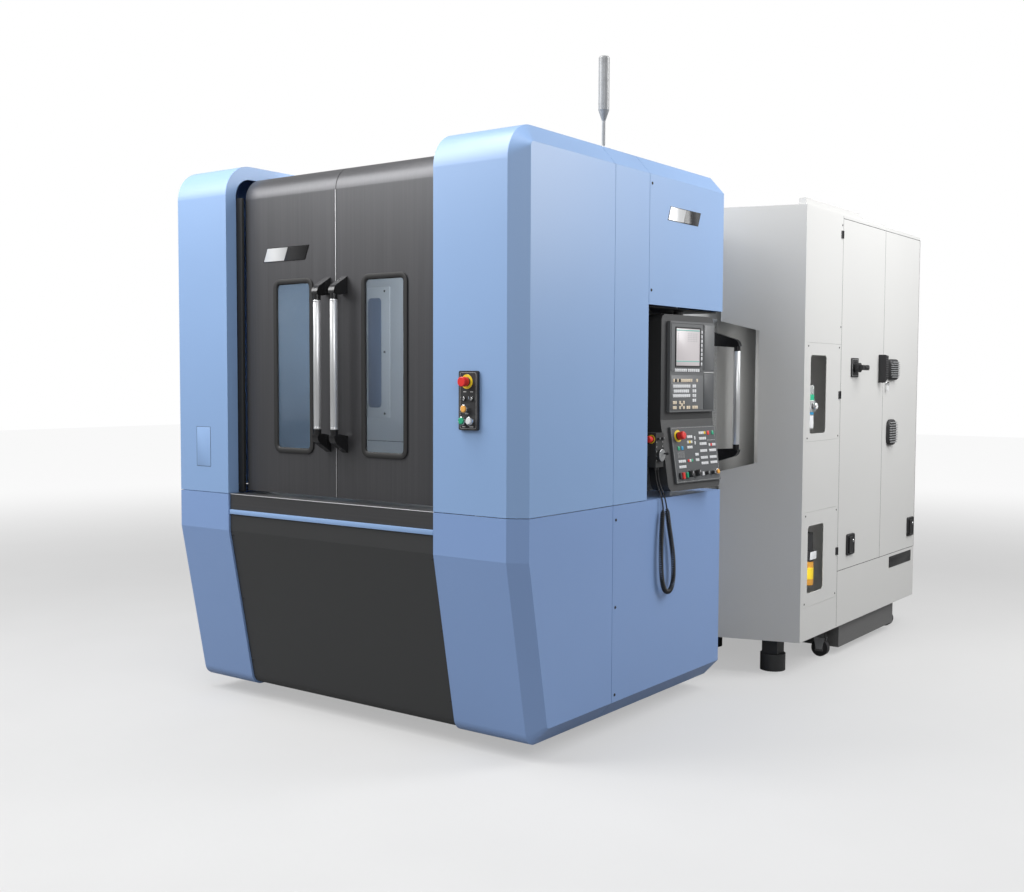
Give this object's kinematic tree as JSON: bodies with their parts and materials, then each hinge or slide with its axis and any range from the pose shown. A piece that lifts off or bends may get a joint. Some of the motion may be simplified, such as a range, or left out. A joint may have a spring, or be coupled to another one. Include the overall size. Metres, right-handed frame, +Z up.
{
  "type": "cnc machining center",
  "caption": "Horizontal machining center with a twin-pallet changer, sliding setup doors, a swivelling control panel and a grey electrical cabinet behind blue covers.",
  "frame": {"origin": "on the floor under the middle of the machine's bounding box", "axes": "+X to the machine's right as seen from the setup doors, +Y from the setup doors to the rear, +Z up"},
  "size_m": [2.46, 4.192, 3.101],
  "materials": {
    "blue_paint": "satin powder coat",
    "door_grey": "satin metallic",
    "light_grey_paint": "satin powder coat",
    "dark_grey_paint": "satin",
    "panel_grey": "fine texture",
    "room_white": "satin",
    "cast_iron": "painted casting",
    "ground_steel": "ground",
    "handle_steel": "brushed",
    "window_glass": "clear",
    "black_plastic": "matte",
    "red_plastic": "gloss",
    "amber_plastic": "gloss",
    "green_plastic": "gloss",
    "white_plastic": "gloss",
    "lamp_grey": "ribbed lens",
    "cord_rubber": "matte",
    "aluminium_body": "cast"
  },
  "bodies": {
    "machine": {"left_post_cover": "blue_paint", "left_skirt": "blue_paint", "left_side_cover": "blue_paint", "right_post_cover": "blue_paint", "right_skirt": "blue_paint", "side_middle_cover": "blue_paint", "side_rear_cover": "blue_paint", "side_lower_cover": "blue_paint", "front_sill": "door_grey", "front_lower_panel": "dark_grey_paint", "setup_switch_box": "black_plastic", "signal_lamp": "lamp_grey", "control_alcove": "dark_grey_paint", "handwheel_unit": "dark_grey_paint", "cord_coil": "cord_rubber", "cord_leads": "cord_rubber", "cabinet_shell": "light_grey_paint", "upper_service_panel": "light_grey_paint", "lower_service_panel": "light_grey_paint", "air_service_unit": "aluminium_body", "lubrication_unit": "aluminium_body", "rear_enclosure": "light_grey_paint", "room_liner": "room_white", "machine_bed": "cast_iron", "levelling_feet": "dark_grey_paint"},
    "left_front_door": {"left_door_panel": "door_grey", "left_door_glass": "window_glass", "left_door_handle": "handle_steel"},
    "right_front_door": {"right_door_panel": "door_grey", "right_door_glass": "window_glass", "right_door_handle": "handle_steel"},
    "operator_door": {"operator_door_panel": "light_grey_paint", "operator_door_handle": "handle_steel"},
    "control_panel": {"control_housing": "panel_grey", "display_unit": "panel_grey", "operation_panel": "dark_grey_paint"},
    "saddle": {"table_saddle": "cast_iron"},
    "table": {"rotary_table": "ground_steel", "machine_pallet": "cast_iron"},
    "changer": {"pallet_changer": "light_grey_paint"},
    "head": {"spindle_head": "cast_iron"},
    "tank": {"coolant_tank": "dark_grey_paint"},
    "magazine": {"tool_magazine": "ground_steel"},
    "column_body": {"column": "cast_iron"},
    "spindle_body": {"spindle": "ground_steel"},
    "setup_pallet_body": {"setup_pallet": "cast_iron"},
    "panel_estop": {"panel_estop": "red_plastic"},
    "feed_override_knob": {"feed_override_knob": "black_plastic"},
    "spindle_override_knob": {"spindle_override_knob": "black_plastic"},
    "cycle_start_button": {"cycle_start_button": "amber_plastic"},
    "handwheel_estop": {"handwheel_estop": "red_plastic"},
    "setup_estop": {"setup_estop": "red_plastic"},
    "setup_amber_button": {"setup_amber_button": "amber_plastic"},
    "setup_green_button": {"setup_green_button": "green_plastic"},
    "setup_white_button": {"setup_white_button": "white_plastic"},
    "cabinet_front_door": {"cabinet_front_door": "light_grey_paint"},
    "cabinet_rear_door": {"cabinet_rear_door": "light_grey_paint"},
    "breaker_handle": {"breaker_handle": "black_plastic"},
    "outer_caster_wheels": {"outer_caster_wheels": "black_plastic"},
    "inner_caster_wheels": {"inner_caster_wheels": "black_plastic"}
  },
  "joints": [
    {"name": "left_door_slide", "type": "slide", "parent": "machine", "child": "left_front_door", "axis": [-1, 0, 0], "range_m": [0, 0.38]},
    {"name": "right_door_slide", "type": "slide", "parent": "machine", "child": "right_front_door", "axis": [1, 0, 0], "range_m": [0, 0.38]},
    {"name": "operator_door_slide", "type": "slide", "parent": "machine", "child": "operator_door", "axis": [0, 1, 0], "range_m": [0, 0.45]},
    {"name": "control_panel_swivel", "type": "hinge", "parent": "machine", "child": "control_panel", "pos_m": [0.83, -0.587, 1.5], "axis": [0, 0, 1], "range_deg": [-20, 6.5]},
    {"name": "panel_estop_press", "type": "slide", "parent": "control_panel", "child": "panel_estop", "axis": [-0.9813, 0.1118, -0.1564], "range_m": [0, 0.005], "stiffness_N_per_m": 600},
    {"name": "cycle_start_press", "type": "slide", "parent": "control_panel", "child": "cycle_start_button", "axis": [-0.9813, 0.1118, -0.1564], "range_m": [0, 0.003], "stiffness_N_per_m": 600},
    {"name": "feed_override_turn", "type": "hinge", "parent": "control_panel", "child": "feed_override_knob", "pos_m": [0.95832, -0.68984, 1.16224], "axis": [0.9813, -0.1118, 0.1564], "range_deg": [-135, 135]},
    {"name": "spindle_override_turn", "type": "hinge", "parent": "control_panel", "child": "spindle_override_knob", "pos_m": [0.96503, -0.62821, 1.16421], "axis": [0.9813, -0.1118, 0.1564], "range_deg": [-135, 135]},
    {"name": "handwheel_estop_press", "type": "slide", "parent": "machine", "child": "handwheel_estop", "axis": [0, 1, 0], "range_m": [0, 0.005], "stiffness_N_per_m": 600},
    {"name": "setup_estop_press", "type": "slide", "parent": "machine", "child": "setup_estop", "axis": [0, 1, 0], "range_m": [0, 0.005], "stiffness_N_per_m": 600},
    {"name": "setup_amber_press", "type": "slide", "parent": "machine", "child": "setup_amber_button", "axis": [0, 1, 0], "range_m": [0, 0.003], "stiffness_N_per_m": 600},
    {"name": "setup_green_press", "type": "slide", "parent": "machine", "child": "setup_green_button", "axis": [0, 1, 0], "range_m": [0, 0.003], "stiffness_N_per_m": 600},
    {"name": "setup_white_press", "type": "slide", "parent": "machine", "child": "setup_white_button", "axis": [0, 1, 0], "range_m": [0, 0.003], "stiffness_N_per_m": 600},
    {"name": "cabinet_front_door_hinge", "type": "hinge", "parent": "machine", "child": "cabinet_front_door", "pos_m": [1.172, 0.733, 1.5], "axis": [0, 0, -1], "range_deg": [0, 110]},
    {"name": "cabinet_rear_door_hinge", "type": "hinge", "parent": "machine", "child": "cabinet_rear_door", "pos_m": [1.172, 2.095, 1.5], "axis": [0, 0, 1], "range_deg": [0, 110]},
    {"name": "breaker_turn", "type": "hinge", "parent": "cabinet_front_door", "child": "breaker_handle", "pos_m": [1.18, 0.943, 1.7], "axis": [-1, 0, 0], "range_deg": [0, 90]},
    {"name": "saddle_slide", "type": "slide", "parent": "machine", "child": "saddle", "axis": [0, 1, 0], "range_m": [-0.45, 0.15]},
    {"name": "table_turn", "type": "hinge", "parent": "saddle", "child": "table", "pos_m": [-0.208, -0.032, 0.9], "axis": [0, 0, 1], "continuous": true},
    {"name": "changer_turn", "type": "hinge", "parent": "machine", "child": "changer", "pos_m": [-0.208, -0.982, 0.9], "axis": [0, 0, 1], "range_deg": [0, 180]},
    {"name": "setup_pallet_turn", "type": "hinge", "parent": "changer", "child": "setup_pallet_body", "pos_m": [-0.208, -1.482, 1.06], "axis": [0, 0, 1], "continuous": true},
    {"name": "column_slide", "type": "slide", "parent": "machine", "child": "column_body", "axis": [1, 0, 0], "range_m": [-0.28, 0.28]},
    {"name": "head_slide", "type": "slide", "parent": "column_body", "child": "head", "axis": [0, 0, 1], "range_m": [-0.28, 0.33]},
    {"name": "spindle_turn", "type": "hinge", "parent": "head", "child": "spindle_body", "pos_m": [-0.208, 0.418, 1.45], "axis": [0, 1, 0], "continuous": true},
    {"name": "magazine_turn", "type": "hinge", "parent": "machine", "child": "magazine", "pos_m": [-1.134, 0.838, 1.65], "axis": [1, 0, 0], "continuous": true},
    {"name": "tank_slide", "type": "slide", "parent": "machine", "child": "tank", "axis": [1, 0, 0], "range_m": [0, 0.9]},
    {"name": "outer_casters_roll", "type": "hinge", "parent": "tank", "child": "outer_caster_wheels", "pos_m": [1.06, 1.258, 0.05], "axis": [0, 1, 0], "continuous": true},
    {"name": "inner_casters_roll", "type": "hinge", "parent": "tank", "child": "inner_caster_wheels", "pos_m": [-0.153, 1.258, 0.05], "axis": [0, 1, 0], "continuous": true}
  ]
}
